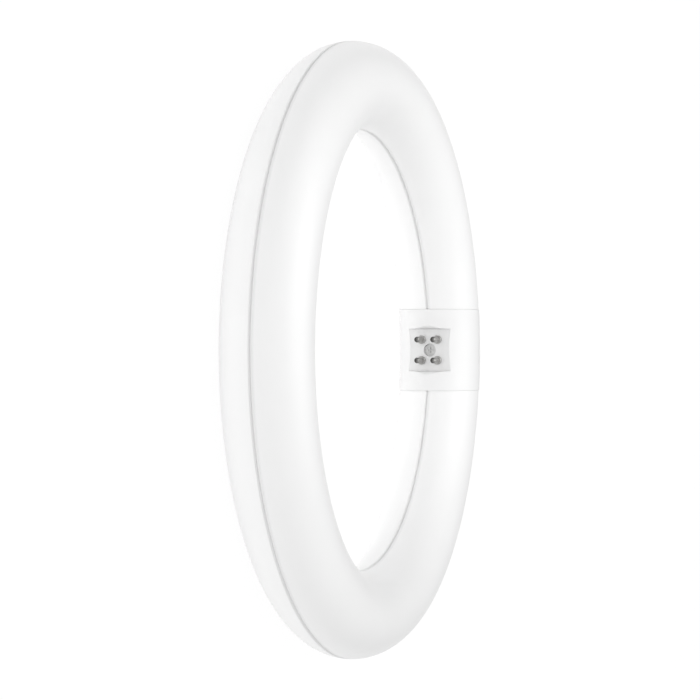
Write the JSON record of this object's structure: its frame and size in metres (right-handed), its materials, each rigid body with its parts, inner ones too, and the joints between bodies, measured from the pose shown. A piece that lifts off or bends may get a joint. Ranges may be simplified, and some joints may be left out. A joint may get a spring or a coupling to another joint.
{
  "type": "circular led tube",
  "caption": "Ring-shaped LED tube lamp with an opal front half, a white rear half, and a flush base collar whose notch carries shouldered pins for a circular-tube lamp holder.",
  "frame": {"origin": "centre of the ring, at half the height of the tube", "axes": "+Z along the ring's axis towards the light side; the base is at +Y and its pins point along -Y to the centre"},
  "size_m": [0.216, 0.2162, 0.0308],
  "materials": {
    "opal_front": "satin opal polycarbonate",
    "white_rear": "satin white polycarbonate",
    "white_base": "satin white moulding",
    "white_plate": "matt white insulating moulding",
    "plated_pin": "nickel-plated brass",
    "steel_screw": "zinc-plated steel",
    "board_core": "white solder mask on aluminium",
    "led_package": "phosphor in a white package",
    "copper": "bare copper",
    "circuit_board": "green solder mask",
    "black_moulding": "black epoxy moulding",
    "resistor_body": "flameproof lacquer",
    "varistor_body": "dipped epoxy",
    "film_body": "dipped epoxy",
    "capacitor_can": "dark sleeve on an aluminium can",
    "ferrite": "sintered ferrite",
    "wire_brown": "brown insulation",
    "wire_blue": "blue insulation"
  },
  "bodies": {
    "root": {"front_diffuser": "opal_front", "rear_housing": "white_rear", "base_inner_shell": "white_base", "base_outer_shell": "white_base", "pin_plate": "white_plate", "contact_pin_1": "plated_pin", "contact_pin_2": "plated_pin", "contact_pin_3": "plated_pin", "contact_pin_4": "plated_pin", "base_screw": "steel_screw", "led_board_1": "board_core", "led_board_2": "board_core", "led_chips_1": "led_package", "led_chips_2": "led_package", "board_links": "copper", "pin_bridge": "copper", "inductor_winding": "copper", "driver_board": "circuit_board", "board_header": "black_moulding", "bridge_rectifier": "black_moulding", "driver_chip": "black_moulding", "freewheel_diode": "black_moulding", "filter_choke": "black_moulding", "fusible_resistor": "resistor_body", "varistor": "varistor_body", "film_capacitor": "film_body", "bulk_capacitor": "capacitor_can", "output_capacitor": "capacitor_can", "inductor_core": "ferrite", "lead_wire_1": "wire_brown", "lead_wire_2": "wire_blue"}
  },
  "joints": []
}
